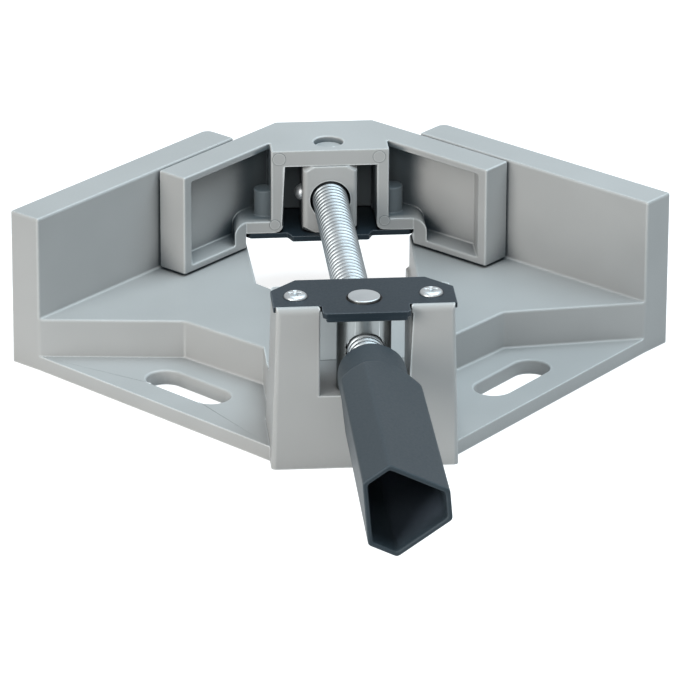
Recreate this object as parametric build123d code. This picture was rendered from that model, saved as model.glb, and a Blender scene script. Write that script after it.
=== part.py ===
from build123d import *
import os
from math import atan2, cos, degrees, radians, sin, sqrt, tan

# Ninety degree corner clamp: a cast base with two upright fences that meet at a right angle, and a
# cast jaw that a lead screw pushes along the line between them.
# Millimetres, +Z up. Everything is drawn from the work corner, the point on the table where the
# inner faces of the two fences would meet, with the clamp's body in front of it towards -Y.
# The last lines move the finished pieces so that the origin lies under the middle of the clamp.
# The screw slopes down a little from the nut to the jaw. Whatever lies on its axis is drawn level at
# height zero first, and on_screw then tips it about the point where the axis crosses the nut's.

# Base casting: fences
fence_length = 96.0
fence_thickness = 12.0
fence_start = 44.0
fence_top = 53.0
fence_heel_radius = 3.0
# Base casting: floor, flange and the open middle
floor_top = 18.0
flange_thickness = 5.0
opening_half_width = 27.5
opening_taper = 1.0
opening_front = -84.0
opening_corner = 9.0
opening_corner_run = 10.8
opening_ledge = 1.3
ledge_top = 6.5
step_reach = 52.0
step_end = -103.5
waist_end = -127.0
flange_end = -176.0
flange_lap = 1.0
# Base casting: tower that carries the nut
tower_front = -183.0
tower_half_width = 28.0
tower_draft = 1.5
post_width = 13.75
post_depth = 23.4
deck_top = 24.8
deck_depth = 29.0
nut_inset = 7.7
tower_top = 54.6
lip_depth = 2.0
tower_edge = 1.5
# Base casting: cored underside
base_wall = 4.0
base_skin = 4.0
rib = 3.0
cell = 32.0
fence_wall = 3.5
# Slots for the bench bolts
slot_length = 33.0
slot_width = 12.5
slot_along = 52.2
slot_inset = 15.8
# Moving jaw
jaw_gap = 1.1
jaw_float = 0.8
jaw_reach = 82.4
jaw_thickness = 11.0
jaw_nose = 16.3
jaw_top = 53.0
jaw_front = -45.0
jaw_web = 2.8
jaw_rim = 2.4
window_half_width = 15.6
window_post = 4.0
window_depth = 21.5
crown = 5.5
shelf = 4.0
foot_half_width = 28.0
foot_wall = 4.0
foot_corner = 3.2
foot_recess = 5.2
heel_corner = 2.4
heel_depth = 18.0
# Swivel block between the screw and the jaw
block_width = 18.0
block_proud = 0.8
block_corner = 1.6
block_cone_radius = 14.3
block_cone_tip = 10.3
block_cone_height = 4.0
block_journal_radius = 4.8
block_journal_recess = 2.0
block_bore_radius = 6.7
# Keeper pin that holds the screw's neck in the block
pin_radius = 2.0
pin_head_radius = 2.85
pin_head_height = 2.4
pin_head_bevel = 1.3
neck_radius = 4.2
neck_width = 4.6
# Steel plates
plate_thickness = 2.0
jaw_plate_tab = 12.7
jaw_plate_tab_depth = 3.6
jaw_plate_corner = 1.5
nut_plate_half_width = 28.8
nut_plate_corner = 8.0
nut_plate_tab_depth = 6.4
nut_plate_tab_corner = 1.0
# Screws that hold the plates
screw_spacing = 21.3
plate_screw_inset = 10.0
screw_head_radius = 3.7
screw_head_height = 1.8
screw_head_bevel = 0.9
screw_shank_radius = 1.9
screw_length = 11.0
boss_radius = 3.6
boss_height = 9.0
# Swivel nut
nut_radius = 8.6
nut_journal_radius = 5.1
nut_proud = 0.8
nut_foot_depth = 9.0
# Lead screw, with its axis at nut_axis_height in the nut and sloping down towards the jaw
lead_radius = 5.9
lead_tip_inset = 2.5
lead_tail = 36.0
nut_axis_height = 39.6
screw_slope = 1.8
# Handle
neck_ahead_of_tower = 20.5
handle_length = 107.5
handle_neck_radius = 10.9
handle_neck_length = 16.0
handle_shoulder = 12.0
handle_flat = 11.3
handle_corner_flat = 14.25
handle_flare = 0.6
handle_turn = 65.0
handle_wall = 1.5
handle_hollow = 58.0
handle_edge = 1.2
handle_corner_room = 2.0
roll_pin_radius = 1.5
roll_pin_inset = 0.5
roll_pin_back = 5.5
# Running and seating clearances
running = 0.1
seating = 0.05
end_clearance = 0.5

# Places worked out from the sizes above
diagonal = sqrt(2)
jaw_bottom = floor_top + jaw_float
jaw_floor = jaw_bottom + foot_recess
post_inner = tower_half_width - post_width
post_back = tower_front + post_depth
deck_back = tower_front + deck_depth
plate_seat = tower_top - plate_thickness
nut_y = tower_front + nut_inset
plate_screw_y = tower_front + plate_screw_inset
body_half_width = window_half_width + window_post
pivot_y = jaw_front - block_proud + block_width / 2
window_back = jaw_front + window_depth
window_top = jaw_top - crown
jaw_face = -jaw_gap
jaw_back_of_arm = jaw_face - jaw_thickness
nose_y = jaw_face * diagonal - jaw_nose
block_bottom = jaw_floor + running
block_top = window_top - running
pivot_along = nut_y + (pivot_y - nut_y) / cos(radians(screw_slope))
pivot_height = nut_axis_height - (pivot_y - nut_y) * tan(radians(screw_slope))
neck_start = tower_front - neck_ahead_of_tower
handle_end = neck_start - handle_length
lead_end = neck_start - lead_tail
lead_tip = pivot_along + block_width / 2 - lead_tip_inset
roll_pin_y = neck_start - roll_pin_back


def fence_point(along, out):
    """Plan point from its distance along the right fence's inner face and its distance outside it."""
    return ((along + out) / diagonal, (out - along) / diagonal)


def prism(outline, low, high):
    """Upright prism on a plan outline."""
    face = make_face(Polyline(*outline, close=True))
    return Pos(0, 0, low) * extrude(face, amount=high - low)


def block(x_range, y_range, z_range):
    """Rectangular block between three pairs of limits."""
    sizes = [high - low for low, high in (x_range, y_range, z_range)]
    middle = [(low + high) / 2 for low, high in (x_range, y_range, z_range)]
    return Pos(*middle) * Box(*sizes)


def post(radius, x, y, low, high):
    """Upright cylinder."""
    return Pos(x, y, (low + high) / 2) * Cylinder(radius, high - low)


def rod(radius, front, back):
    """Level cylinder along Y at height zero."""
    return Pos(0, (front + back) / 2, 0) * Rot(90, 0, 0) * Cylinder(radius, back - front)


def on_screw(shape):
    """Tip a shape drawn about a level axis at height zero into its place on the sloping screw."""
    return Pos(0, nut_y, nut_axis_height) * Rot(-screw_slope, 0, 0) * Pos(0, -nut_y, 0) * shape


def run_edges(shape, direction):
    """Straight edges of a shape that run within a few degrees of a direction."""
    return [edge for edge in shape.edges() if abs((edge % 0.5).dot(Vector(*direction))) > 0.95]


def both_sides(shape):
    """A right-hand shape together with its mirror image."""
    return shape + mirror(shape, about=Plane.YZ)


def along_fence(shape):
    """Turn a shape drawn with X along the right fence and Y out through it into its place."""
    return Rot(0, 0, -45) * shape


def right_fence():
    """One upright fence, with its outer heel rounded."""
    ends = (fence_start, fence_start + fence_length)
    fence = block(ends, (0, fence_thickness), (0, fence_top))
    heel = fence.edges().filter_by(Axis.Z).sort_by(lambda e: e.center().X - e.center().Y)[0]
    return along_fence(fillet(heel, fence_heel_radius))


def wing_outline(fence_overlap, ledge=0):
    """Plan of the raised floor's right half, from the open middle round to the tower."""
    rear_half = opening_half_width - ledge
    front_half = rear_half - opening_taper
    rear = rear_half - fence_start * diagonal
    return [
        (0, opening_front),
        (front_half - opening_corner, opening_front),
        (front_half, opening_front + opening_corner_run),
        (rear_half, rear),
        fence_point(fence_start, fence_overlap),
        fence_point(fence_start + fence_length, fence_overlap),
        fence_point(fence_start + fence_length, 0),
        (step_reach, step_end),
        (tower_half_width, waist_end),
        (tower_half_width, deck_back),
        (0, deck_back),
    ]


def flange_outline():
    """Plan of the low flange's right half, outside the raised floor."""
    return [
        (0, deck_back),
        (0, (deck_back + waist_end) / 2),
        (step_reach, step_end + flange_lap),
        fence_point(fence_start + fence_length - flange_lap, 0),
        fence_point(fence_start + fence_length, 0),
        (tower_half_width + tower_draft, flange_end),
        (0, flange_end),
    ]


def slot_frame():
    """Place and direction of the right slot, which runs beside the flange's outer edge."""
    corner = Vector(*fence_point(fence_start + fence_length, 0))
    toe = Vector(tower_half_width + tower_draft, flange_end)
    run = (toe - corner).normalized()
    inward = Vector(run.Y, -run.X)
    centre = corner + run * slot_along + inward * slot_inset
    return Pos(centre.X, centre.Y, 0) * Rot(0, 0, degrees(atan2(run.Y, run.X)))


def tower():
    """Tower with two posts and the ledges that the nut's plate lies on."""
    def section(height, back):
        half = tower_half_width + tower_draft * (1 - height / tower_top)
        return Pos(0, (tower_front + back) / 2, height) * Rectangle(2 * half, back - tower_front)

    def rounded(height, back):
        body = loft([section(0, back), section(height, back)])
        return fillet(run_edges(body, (0, 0, 1)), tower_edge)

    gap = block((-post_inner, post_inner), (tower_front, post_back), (deck_top, tower_top))
    seat = block(
        (-tower_half_width - tower_draft, tower_half_width + tower_draft),
        (tower_front + lip_depth, post_back),
        (plate_seat, tower_top),
    )
    return rounded(deck_top, deck_back) + (rounded(tower_top, post_back) - gap - seat)


def underside_cells():
    """Cored cells under the right half of the raised floor, between ribs."""
    room = make_face(Polyline(*wing_outline(base_wall), close=True))
    room = offset(room, amount=-base_wall)
    cells = extrude(room, amount=floor_top - base_skin)
    reach = fence_start + fence_length
    for number in range(1, int(reach / cell)):
        across = block(
            (fence_start + number * cell - rib / 2, fence_start + number * cell + rib / 2),
            (-reach, reach), (0, floor_top))
        lengthwise = block(
            (-reach, 2 * reach), (-number * cell - rib / 2, -number * cell + rib / 2), (0, floor_top))
        cells = cells - along_fence(across) - along_fence(lengthwise)
    return cells


def tower_cell():
    """Cored cell under the right half of the tower, round the boss for the nut's lower journal."""
    side = tower_half_width - base_wall
    room = block((rib / 2, side), (tower_front + base_wall, deck_back - base_wall),
                 (0, deck_top - base_skin))
    return room - post(nut_journal_radius + base_wall, 0, nut_y, 0, deck_top)


def base():
    """Base casting: fences, raised floor, flange, tower, slots and the cored underside."""
    floor = prism(wing_outline(fence_thickness / 2), 0, floor_top)
    floor += prism(wing_outline(fence_thickness / 2, opening_ledge), 0, ledge_top)
    flange = prism(flange_outline(), 0, flange_thickness)
    fence_core = along_fence(block(
        (fence_start + fence_wall, fence_start + fence_length - fence_wall),
        (fence_wall, fence_thickness - fence_wall), (0, fence_top - base_skin)))
    body = both_sides(right_fence() + floor + flange) + tower()
    slot = slot_frame() * extrude(SlotOverall(slot_length, slot_width), amount=flange_thickness)
    cut = both_sides(slot + fence_core + underside_cells() + tower_cell())
    body = body - cut
    body -= post(nut_journal_radius + running, 0, nut_y, deck_top - nut_foot_depth - running, deck_top)
    hole = post(screw_shank_radius + seating, screw_spacing, plate_screw_y,
                plate_seat - screw_length, plate_seat)
    return body - both_sides(hole)


def arm_outline():
    """Plan of the jaw's right half."""
    return [
        (0, nose_y),
        (jaw_nose, nose_y),
        fence_point(jaw_reach, jaw_face),
        fence_point(jaw_reach, jaw_back_of_arm),
        (body_half_width, jaw_back_of_arm * diagonal - body_half_width),
        (body_half_width, jaw_front),
        (0, jaw_front),
    ]


def arm_pocket():
    """Hollow of the right arm, open to the front, over the shelf and down to the lower rim."""
    tip = fence_point(jaw_reach, jaw_back_of_arm)
    web = (jaw_face - jaw_web) * diagonal
    near, far = body_half_width, tip[0] - jaw_rim
    outside = jaw_back_of_arm * diagonal - far * 2

    def hollow(first, low, high):
        return prism([(first, web - first), (far, web - far), (far, outside), (first, outside)],
                     low, high)

    over_shelf = hollow(near, jaw_floor + shelf, jaw_top - jaw_rim)
    beside_foot = hollow(foot_half_width + foot_wall, jaw_bottom + jaw_rim, jaw_top - jaw_rim)
    return over_shelf + beside_foot


def foot_back(clearance):
    """Back edge of the recess under the jaw's middle, or of a plate that fits in it."""
    back = nose_y - foot_wall - clearance
    slant = (jaw_face - foot_wall - clearance) * diagonal
    half = foot_half_width - clearance
    return [(0, back), (slant - back, back), (half, slant - half)]


def jaw():
    """Jaw casting: two arms and a middle with a window for the swivel block."""
    body = prism(arm_outline(), jaw_bottom, jaw_top)
    shelf_front = jaw_back_of_arm * diagonal - body_half_width
    body += block((0, foot_half_width + foot_wall), (jaw_front, shelf_front),
                  (jaw_floor, jaw_floor + shelf))
    body -= arm_pocket()
    foot_edge = [edge for edge in run_edges(body, (0, 1, 0))
                 if abs(edge.center().X - foot_half_width - foot_wall) < 0.1
                 and abs(edge.center().Z - jaw_floor - shelf) < 0.1]
    body = fillet(foot_edge, foot_corner)
    open_front = [(foot_half_width, jaw_front - foot_wall), (0, jaw_front - foot_wall)]
    body -= prism(foot_back(0) + open_front, jaw_bottom, jaw_floor)
    body -= block((0, window_half_width), (jaw_front, window_back), (jaw_floor, window_top))
    reach = (jaw_front, jaw_front + heel_depth)
    heel = block((window_half_width, window_half_width + heel_corner), reach,
                 (jaw_floor, jaw_floor + heel_corner))
    body -= heel - Pos(window_half_width + heel_corner, 0, jaw_floor + heel_corner) * rod(
        heel_corner, *reach)
    body += post(boss_radius, screw_spacing, pivot_y, jaw_floor, jaw_floor + shelf + boss_height)
    body -= post(screw_shank_radius + seating, screw_spacing, pivot_y,
                 jaw_floor, jaw_floor + screw_length)
    return both_sides(body) - post(block_journal_radius + running, 0, pivot_y, window_top, jaw_top)


def swivel_block():
    """Square block that turns in the jaw on two round journals and takes the screw's end."""
    body = extrude(RectangleRounded(block_width, block_width, block_corner),
                   amount=block_top - block_bottom)
    cone = Cone(block_cone_radius, block_cone_tip, block_cone_height,
                align=(Align.CENTER, Align.CENTER, Align.MIN))
    waist = block_top - block_bottom - 2 * block_cone_height
    turned = Pos(0, 0, waist / 2) * cone
    turned += mirror(turned, about=Plane.XY)
    turned += Cylinder(block_cone_radius, waist)
    body = Pos(0, 0, block_bottom) * body & Pos(0, 0, (block_bottom + block_top) / 2) * turned
    body += post(block_journal_radius, 0, 0, block_top, jaw_top - block_journal_recess)
    body += post(block_journal_radius, 0, 0, jaw_floor - plate_thickness, block_bottom)
    body = Pos(0, pivot_y, 0) * body
    body -= on_screw(rod(block_bore_radius, pivot_along - block_width, lead_tip + end_clearance))
    shank = Pos(-block_width / 2, pivot_y, pivot_height) * Rot(0, 90, 0) * Cylinder(
        pin_radius + seating, block_width)
    return body - shank


def keeper_pin():
    """Round-headed pin whose tip runs in the neck turned into the screw."""
    depth = block_width / 2 - neck_radius - running
    shank = Pos(-neck_radius - running - depth / 2, 0, 0) * Rot(0, 90, 0) * Cylinder(pin_radius, depth)
    head = Cylinder(pin_head_radius, pin_head_height, align=(Align.CENTER, Align.CENTER, Align.MIN))
    head = chamfer(head.faces().sort_by(Axis.Z)[-1].edges(), pin_head_bevel)
    head = Pos(-block_width / 2, 0, 0) * Rot(0, -90, 0) * head
    return Pos(0, pivot_y, pivot_height) * (shank + head)


def lead_screw():
    """Screw shaft at its thread's full diameter, with the neck for the keeper pin."""
    shaft = rod(lead_radius, lead_end, lead_tip)
    front, back = pivot_along - neck_width / 2, pivot_along + neck_width / 2
    groove = rod(2 * lead_radius, front, back) - rod(neck_radius, front, back)
    hole = Pos(0, roll_pin_y, 0) * Cylinder(roll_pin_radius + seating, 4 * lead_radius)
    return on_screw(shaft - groove - hole)


def swivel_nut():
    """Upright round nut with a journal at each end and a cross hole for the screw."""
    body = post(nut_radius, 0, nut_y, deck_top + running, plate_seat - running)
    body += post(nut_journal_radius, 0, nut_y, plate_seat - running, tower_top + nut_proud)
    body += post(nut_journal_radius, 0, nut_y, deck_top - nut_foot_depth, deck_top + running)
    return body - on_screw(rod(lead_radius + running, nut_y - 2 * nut_radius, nut_y + 2 * nut_radius))


def nut_plate():
    """Black plate over the nut, with a tab between the posts' lips."""
    seat_front = tower_front + lip_depth + seating
    tab = post_inner - end_clearance
    tab_front = seat_front - nut_plate_tab_depth
    outline = [
        (0, post_back),
        (nut_plate_half_width - nut_plate_corner, post_back),
        (nut_plate_half_width, post_back - nut_plate_corner),
        (nut_plate_half_width, seat_front),
        (tab, seat_front),
        (tab, tab_front + nut_plate_tab_corner),
        (tab - nut_plate_tab_corner, tab_front),
        (0, tab_front),
    ]
    plate = both_sides(prism(outline, plate_seat, tower_top))
    plate -= post(nut_journal_radius + running, 0, nut_y, plate_seat, tower_top)
    hole = post(screw_shank_radius + seating, screw_spacing, plate_screw_y, plate_seat, tower_top)
    return plate - both_sides(hole)


def jaw_plate():
    """Black plate under the jaw that carries the swivel block's lower journal."""
    half = foot_half_width - running
    low = jaw_floor - plate_thickness
    outline = foot_back(running) + [
        (half, jaw_front + jaw_plate_corner),
        (half - jaw_plate_corner, jaw_front),
        (jaw_plate_tab + jaw_plate_corner, jaw_front),
        (jaw_plate_tab, jaw_front - jaw_plate_tab_depth),
        (0, jaw_front - jaw_plate_tab_depth),
    ]
    plate = both_sides(prism(outline, low, jaw_floor))
    plate -= post(block_journal_radius + running, 0, pivot_y, low, jaw_floor)
    hole = post(screw_shank_radius + seating, screw_spacing, pivot_y, low, jaw_floor)
    return plate - both_sides(hole)


def plate_screw():
    """Pan head screw, head up, with the underside of its head at height zero."""
    head = Cylinder(screw_head_radius, screw_head_height, align=(Align.CENTER, Align.CENTER, Align.MIN))
    rim = head.faces().sort_by(Axis.Z)[-1].edges()
    head = chamfer(rim, screw_head_bevel)
    shank_length = screw_length + plate_thickness - end_clearance
    return head + Pos(0, 0, -shank_length / 2) * Cylinder(screw_shank_radius, shank_length)


def handle_flats(back, front, inset):
    """Rod between two distances along the screw, cut by the handle's six flats set in by a wall.

    The flats lean outwards a little towards the handle's open end.
    """
    solid = rod(2 * handle_corner_flat, back, front)
    lean = degrees(atan2(handle_flare, handle_length))
    for number in range(6):
        distance = (handle_flat, handle_corner_flat)[number % 2] - handle_flare - inset
        beyond = block((0, 2 * handle_corner_flat), (-2 * handle_length, handle_length),
                       (-2 * handle_corner_flat, 2 * handle_corner_flat))
        leaning = Pos(distance, neck_start, 0) * Rot(0, 0, lean) * beyond
        solid -= Rot(0, -handle_turn - 60 * number, 0) * leaning
    return solid


def handle():
    """Black handle: round neck, three broad flats and a hollow, open end."""
    grip = handle_flats(handle_end, neck_start, 0)
    grip = fillet(run_edges(grip, (0, 1, 0)), handle_edge)
    shoulder_start = neck_start - handle_neck_length
    widest = handle_corner_flat + handle_corner_room
    profile = Polyline(
        (0, neck_start), (handle_neck_radius, neck_start), (handle_neck_radius, shoulder_start),
        (widest, shoulder_start - handle_shoulder), (widest, handle_end), (0, handle_end), close=True)
    envelope = revolve(make_face(profile), Axis.Y)
    body = grip & envelope
    body -= handle_flats(handle_end, handle_end + handle_hollow, handle_wall)
    body -= rod(lead_radius + seating, lead_end, neck_start)
    hole = Pos(0, roll_pin_y, 0) * Cylinder(roll_pin_radius + seating, 4 * handle_neck_radius)
    return on_screw(body - hole)


def handle_pin():
    """Pin through the handle's neck and the screw."""
    length = 2 * (handle_neck_radius - roll_pin_inset)
    return on_screw(Pos(0, roll_pin_y, 0) * Cylinder(roll_pin_radius, length))


nodes = {
    "base": base(),
    "nut_plate": nut_plate(),
    "swivel_nut": swivel_nut(),
    "lead_screw": lead_screw(),
    "handle": handle(),
    "handle_pin": handle_pin(),
    "swivel_block": swivel_block(),
    "keeper_pin": keeper_pin(),
    "moving_jaw": jaw(),
    "jaw_plate": jaw_plate(),
}
for side, sign in (("left", -1), ("right", 1)):
    nodes["nut_plate_screw_" + side] = Pos(sign * screw_spacing, plate_screw_y, tower_top) * plate_screw()
    nodes["jaw_plate_screw_" + side] = Pos(
        sign * screw_spacing, pivot_y, jaw_floor - plate_thickness) * Rot(180, 0, 0) * plate_screw()

# The clamp reaches from the handle's open end to the jaw's nose, and the origin goes halfway
handle_reach = nodes["handle"].bounding_box().min.Y
corner_y = -(handle_reach + nose_y) / 2

os.makedirs("parts", exist_ok=True)
for name, shape in nodes.items():
    placed = Pos(0, corner_y, 0) * shape
    export_step(placed, os.path.join("parts", name + ".step"))
    print(name, len(placed.solids()), "solid", round(placed.volume), "mm3")
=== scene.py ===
# %% [markdown]
# # A right-angle corner clamp
# This notebook dresses a finished CAD model of a corner clamp: two aluminium castings, a zinc-plated
# lead screw, black steel plates and a hollow plastic handle.
# The CAD model gives every size and every moving body. The cells below give the clamp its rounded
# edges, its thread and its finishes, and then light it like a studio picture.

import math

import bmesh
import bpy
import numpy as np
from mathutils import Matrix, Vector


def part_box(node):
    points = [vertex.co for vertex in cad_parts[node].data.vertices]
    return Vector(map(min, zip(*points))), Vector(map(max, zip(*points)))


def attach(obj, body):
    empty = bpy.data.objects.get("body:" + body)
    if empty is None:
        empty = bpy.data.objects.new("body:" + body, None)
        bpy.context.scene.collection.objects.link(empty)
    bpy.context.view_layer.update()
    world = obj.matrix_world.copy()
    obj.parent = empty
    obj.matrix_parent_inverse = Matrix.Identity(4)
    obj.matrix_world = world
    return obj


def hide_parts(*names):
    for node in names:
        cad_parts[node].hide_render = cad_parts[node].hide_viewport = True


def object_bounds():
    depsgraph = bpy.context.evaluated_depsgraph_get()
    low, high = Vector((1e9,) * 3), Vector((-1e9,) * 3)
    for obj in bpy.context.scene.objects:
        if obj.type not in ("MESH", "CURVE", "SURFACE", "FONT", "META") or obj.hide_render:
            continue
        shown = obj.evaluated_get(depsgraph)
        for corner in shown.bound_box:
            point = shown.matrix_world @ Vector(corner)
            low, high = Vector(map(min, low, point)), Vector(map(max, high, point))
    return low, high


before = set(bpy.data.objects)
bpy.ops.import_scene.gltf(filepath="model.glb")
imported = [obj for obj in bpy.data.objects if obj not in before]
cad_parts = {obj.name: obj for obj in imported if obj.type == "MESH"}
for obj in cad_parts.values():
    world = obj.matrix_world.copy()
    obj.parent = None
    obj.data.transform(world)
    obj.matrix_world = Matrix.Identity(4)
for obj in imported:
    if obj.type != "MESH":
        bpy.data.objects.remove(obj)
cad_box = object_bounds()
print("nodes:", ", ".join(sorted(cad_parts)))

# %% [markdown]
# ## Places that the pieces share
# The upright axes of the nut and of the swivel block, and the corner that the fences aim at, are read
# from the boxes of the CAD pieces. The screw slopes a little, down towards the fences, so its thread
# and its handle are drawn along a level line through the nut and are then tilted about the nut.

# %% Read the places
MM = 0.001


def middle(node):
    """Middle of a CAD node's box."""
    low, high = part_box(node)
    return (Vector(low) + Vector(high)) / 2


SLOPE = math.radians(1.8)
AXIS_HEIGHT = 39.6 * MM
JAW_NOSE = 17.856 * MM
JAW_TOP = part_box("moving_jaw")[1][2]
TOWER_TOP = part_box("nut_plate")[1][2]
nut_y = middle("swivel_nut").y
block_y = middle("swivel_block").y
corner_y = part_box("moving_jaw")[1][1] + JAW_NOSE
print("nut at y", round(nut_y, 4), "block at y", round(block_y, 4))
print("work corner at y", round(corner_y, 4))

# %% [markdown]
# ## Helpers for surfaces
# Every new surface is a grid of points worked out with whole numpy arrays: one direction of the grid
# runs along a path, the other runs round it. A value that is the same all along the path is a row,
# and one that is the same all round it is a column, and numpy spreads both over the grid.

# %% Grids of points
def full_turn(count):
    """Row of angles over one whole turn, with the last one a step short of the first."""
    return np.linspace(0, 2 * np.pi, count, endpoint=False)[None, :]


def grid_points(x, y, z):
    """Points from three coordinates, each a number, a row, a column or a whole grid."""
    return np.stack(np.broadcast_arrays(x, y, z), -1)


def on_screw(points):
    """Tilt points (x, distance ahead of the nut, height over the axis) down by the screw's slope."""
    x, ahead, over = points[..., 0], points[..., 1], points[..., 2]
    return grid_points(x, nut_y + ahead * math.cos(SLOPE) + over * math.sin(SLOPE),
                       AXIS_HEIGHT - ahead * math.sin(SLOPE) + over * math.cos(SLOPE))


def points_of(mesh):
    """All corner points of a mesh, as an array of shape (count, 3)."""
    places = np.zeros(len(mesh.vertices) * 3)
    mesh.vertices.foreach_get("co", places)
    return places.reshape(-1, 3)


print("screw's axis", round(float(on_screw(np.zeros((1, 3)))[0, 2]) / MM, 1), "mm up at the nut")

# %% [markdown]
# ## From a grid to a closed piece
# closed_tube joins neighbouring points into faces, closes the grid round the path, and closes both
# ends with a pole point. Which way its faces look depends on the path, so recalculate turns them all
# outwards afterwards. The other two helpers are the commonest cases: a profile turned about an axis,
# and a section carried along the sloping screw.

# %% Closed pieces
def recalculate(mesh):
    """Turn every face outwards and shade it smooth."""
    work = bmesh.new()
    work.from_mesh(mesh)
    bmesh.ops.recalc_face_normals(work, faces=work.faces)
    work.to_mesh(mesh)
    work.free()
    mesh.polygons.foreach_set("use_smooth", np.ones(len(mesh.polygons), dtype=bool))


def closed_tube(name, rings):
    """Closed piece from rings of points, an array of shape (stations, around, 3).

    Face (i, j) joins ring i to ring i + 1 between points j and j + 1, and each end ring is joined to
    the mean of its points.
    """
    stations, around = rings.shape[:2]
    points = np.concatenate([rings.reshape(-1, 3), rings[:1].mean(1), rings[-1:].mean(1)])
    i, j = np.meshgrid(np.arange(stations - 1), np.arange(around), indexing="ij")
    k = (j + 1) % around
    quads = np.stack([i * around + j, i * around + k, (i + 1) * around + k, (i + 1) * around + j], -1)
    ring = np.arange(around)
    after = (ring + 1) % around
    pole = np.full(around, stations * around)
    last = (stations - 1) * around
    start = np.stack([after, ring, pole], -1)
    end = np.stack([last + ring, last + after, pole + 1], -1)
    faces = quads.reshape(-1, 4).tolist() + start.tolist() + end.tolist()
    mesh = bpy.data.meshes.new(name)
    mesh.from_pydata(points.tolist(), [], faces)
    recalculate(mesh)
    piece = bpy.data.objects.new(name, mesh)
    bpy.context.collection.objects.link(piece)
    return piece


def lathe(name, profile, origin, axis, around=96):
    """Body of revolution: points at radius r and distance h along an axis, for each (h, r)."""
    axis = Vector(axis).normalized()
    side = axis.orthogonal().normalized()
    other = axis.cross(side)
    h, r = (np.array(column, dtype=float)[:, None, None] for column in zip(*profile))
    turn = full_turn(around)[..., None]
    across = np.cos(turn) * np.array(side) + np.sin(turn) * np.array(other)
    return closed_tube(name, np.array(origin) + h * np.array(axis) + r * across)


def round_the_screw(name, radius, ahead, turn):
    """x = radius * cos(turn), height = radius * sin(turn), at each distance ahead of the nut."""
    rings = grid_points(radius * np.cos(turn), ahead, radius * np.sin(turn))
    return closed_tube(name, on_screw(rings))


print("helpers ready: closed_tube, lathe, round_the_screw")

# %% [markdown]
# ## Softened castings
# A casting has no sharp edge: the mould is rounded, and tumbling rounds it more. A bright line runs
# along each edge because it catches the light. The CAD solids have sharp edges, so each casting is
# copied, its triangles are joined back into flat faces, and a Bevel modifier rolls its edges over.
# One width for all edges would tear the small ones, and the modifier's own clamp would shrink every
# edge to suit the smallest. So each edge gets a bevel weight: the share of the width that it has room
# for, judged by the edges that leave its two ends. The rounded mesh then replaces the copy, its
# remaining sharp edges are marked, and a Weighted Normal modifier lets the large faces keep their
# own direction, so that they stay flat right up to the rounding.

# %% Room for a bevel
ROOM_SHARE = 0.4
NARROW_COSINE = 0.8
STRAIGHT_SINE = 0.35
MOST_ROOM = 1.0


def room_beside(edge):
    """Least of share * length * sine of the angle over the edges that leave this edge's ends.

    An edge that leaves at a narrow angle leaves no room at all, and one that only runs straight on
    doesn't count.
    """
    room = MOST_ROOM
    for corner in edge.verts:
        away = (edge.other_vert(corner).co - corner.co).normalized()
        for other in corner.link_edges:
            if other is edge:
                continue
            way = other.other_vert(corner).co - corner.co
            cosine = way.normalized().dot(away)
            sine = math.sqrt(max(1 - cosine * cosine, 0))
            if cosine > NARROW_COSINE:
                room = 0.0
            elif sine > STRAIGHT_SINE:
                room = min(room, way.length * sine * ROOM_SHARE)
    return room


print("a bevel takes up to", ROOM_SHARE, "of the edge beside it")

# %% Flat faces and sharp edges
FLAT_ANGLE = math.radians(1.0)
BEVEL_ANGLE = math.radians(24)
SHARP_ANGLE = math.radians(35)
LEVEL_PLAY = 0.1 * MM


def joined_flats(work, merge, kept_levels):
    """Merge close points and join triangles into flat faces, except in the planes that are kept.

    Returns a test that tells whether an edge lies in one of those planes.
    """
    def kept(edge):
        return any(all(abs(corner.co.z - level) < LEVEL_PLAY for corner in edge.verts)
                   for level in kept_levels)

    bmesh.ops.remove_doubles(work, verts=work.verts, dist=merge)
    merged = [edge for edge in work.edges if not kept(edge)]
    bmesh.ops.dissolve_limit(work, angle_limit=FLAT_ANGLE, verts=[], edges=merged)
    return kept


def mark_sharp(mesh):
    """Shade every face smooth, and mark each edge whose two faces meet at a sharp angle."""
    work = bmesh.new()
    work.from_mesh(mesh)
    for edge in work.edges:
        edge.smooth = edge.calc_face_angle(0) < SHARP_ANGLE
    for face in work.faces:
        face.smooth = True
    work.to_mesh(mesh)
    work.free()


print("edges over", round(math.degrees(BEVEL_ANGLE)), "degrees are rounded")

# %% Softened copy of a CAD piece
def weighted_edges(mesh, width, merge, kept_levels, hidden):
    """Join the flats of a mesh, and weight each edge by room / width, up to 1."""
    work = bmesh.new()
    work.from_mesh(mesh)
    kept = joined_flats(work, merge, kept_levels)
    weight = work.edges.layers.float.new("bevel_weight_edge")
    for edge in work.edges:
        covered = kept(edge) or (hidden and hidden((edge.verts[0].co + edge.verts[1].co) / 2))
        if edge.calc_face_angle(0) > BEVEL_ANGLE and not covered:
            edge[weight] = min(1.0, room_beside(edge) / width)
    work.to_mesh(mesh)
    work.free()


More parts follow.
